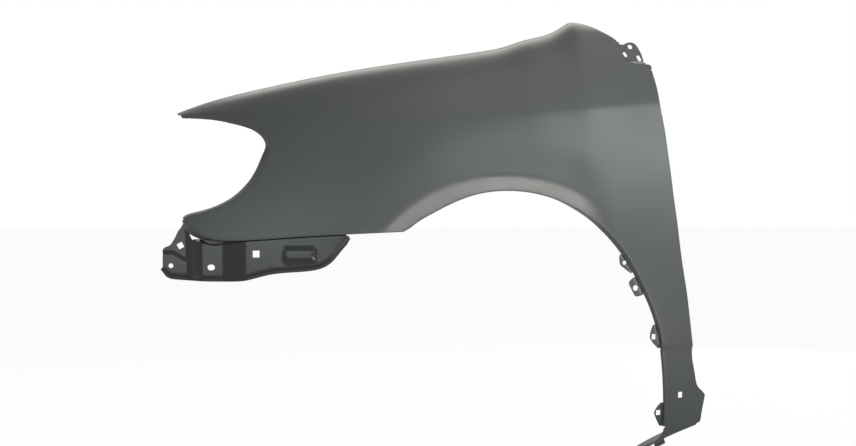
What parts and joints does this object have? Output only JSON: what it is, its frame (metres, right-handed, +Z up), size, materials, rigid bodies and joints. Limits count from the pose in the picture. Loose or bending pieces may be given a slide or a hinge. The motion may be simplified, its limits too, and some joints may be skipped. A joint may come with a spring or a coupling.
{
  "type": "car front fender",
  "caption": "Pressed steel left front fender with wheel arch, headlamp recess, bolt-on tabs and a welded stepped bracket that carries the side of the bumper.",
  "frame": {"origin": "seat of the second bolting pad of the hood ledge, on its underside where it rests on the body", "axes": "+X toward the rear of the car, +Y inboard, +Z up; the wheel centre lies 0.540 m below the origin and 0.268 m behind it"},
  "size_m": [1.0663, 0.2258, 0.8486],
  "materials": {
    "e_coat_grey": "satin dark grey primer",
    "e_coat_black": "semi-gloss black primer"
  },
  "bodies": {
    "root": {"fender_panel": "e_coat_grey", "bumper_side_bracket": "e_coat_black"}
  },
  "joints": []
}
